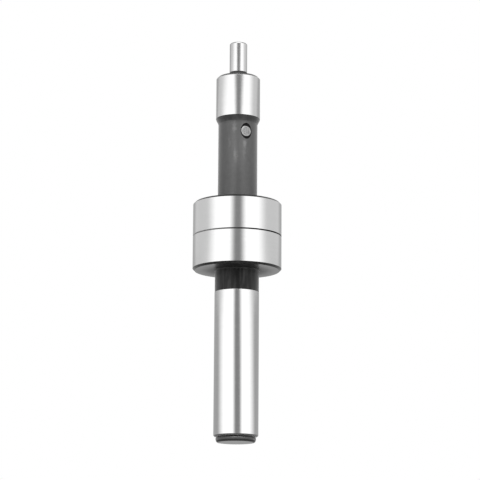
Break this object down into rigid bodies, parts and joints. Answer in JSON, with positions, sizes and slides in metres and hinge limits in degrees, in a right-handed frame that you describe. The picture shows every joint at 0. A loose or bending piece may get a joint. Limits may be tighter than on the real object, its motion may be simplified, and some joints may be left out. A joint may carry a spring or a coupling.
{
  "type": "touch probe",
  "caption": "Mechanical edge finder: a ground shank and a spring-held probe meet on a lapped disc face, so the probe with its head and measuring tip slides sideways and turns.",
  "frame": {"origin": "middle of the end plug's outer face, which is the lowest point", "axes": "+Z along the axis from the end plug to the measuring tip, +Y along the cross pin, +X the way the probe slides at rest"},
  "size_m": [0.02, 0.02, 0.0917],
  "materials": {
    "ground_steel": "hardened tool steel, cylindrically ground bright, black where it was left unground",
    "black_oxide": "turned steel, hot blacked and oiled, satin",
    "pin_steel": "ground dowel steel with bright cut ends",
    "spring_wire": "drawn music wire, dull grey"
  },
  "bodies": {
    "shank": {"shank_body": "ground_steel"},
    "plug": {"end_plug": "black_oxide", "plug_pin": "pin_steel"},
    "probe": {"probe_body": "ground_steel", "cross_pin": "pin_steel"},
    "spring": {"tension_spring": "spring_wire"}
  },
  "joints": [
    {"name": "plug_swivel", "type": "hinge", "parent": "shank", "child": "plug", "pos_m": [0, 0, 0.0013], "axis": [0, 0, 1], "continuous": true},
    {"name": "probe_offset", "type": "slide", "parent": "plug", "child": "probe", "axis": [1, 0, 0], "range_m": [-0.0015, 0.0015]},
    {"name": "spring_lean", "type": "hinge", "parent": "plug", "child": "spring", "pos_m": [0, 0, 0.0033], "axis": [0, 1, 0], "range_deg": [-1.4, 1.4]}
  ],
  "couplings": [
    {"joint": "spring_lean", "follows": "probe_offset", "rad_per_m": 14.97}
  ]
}
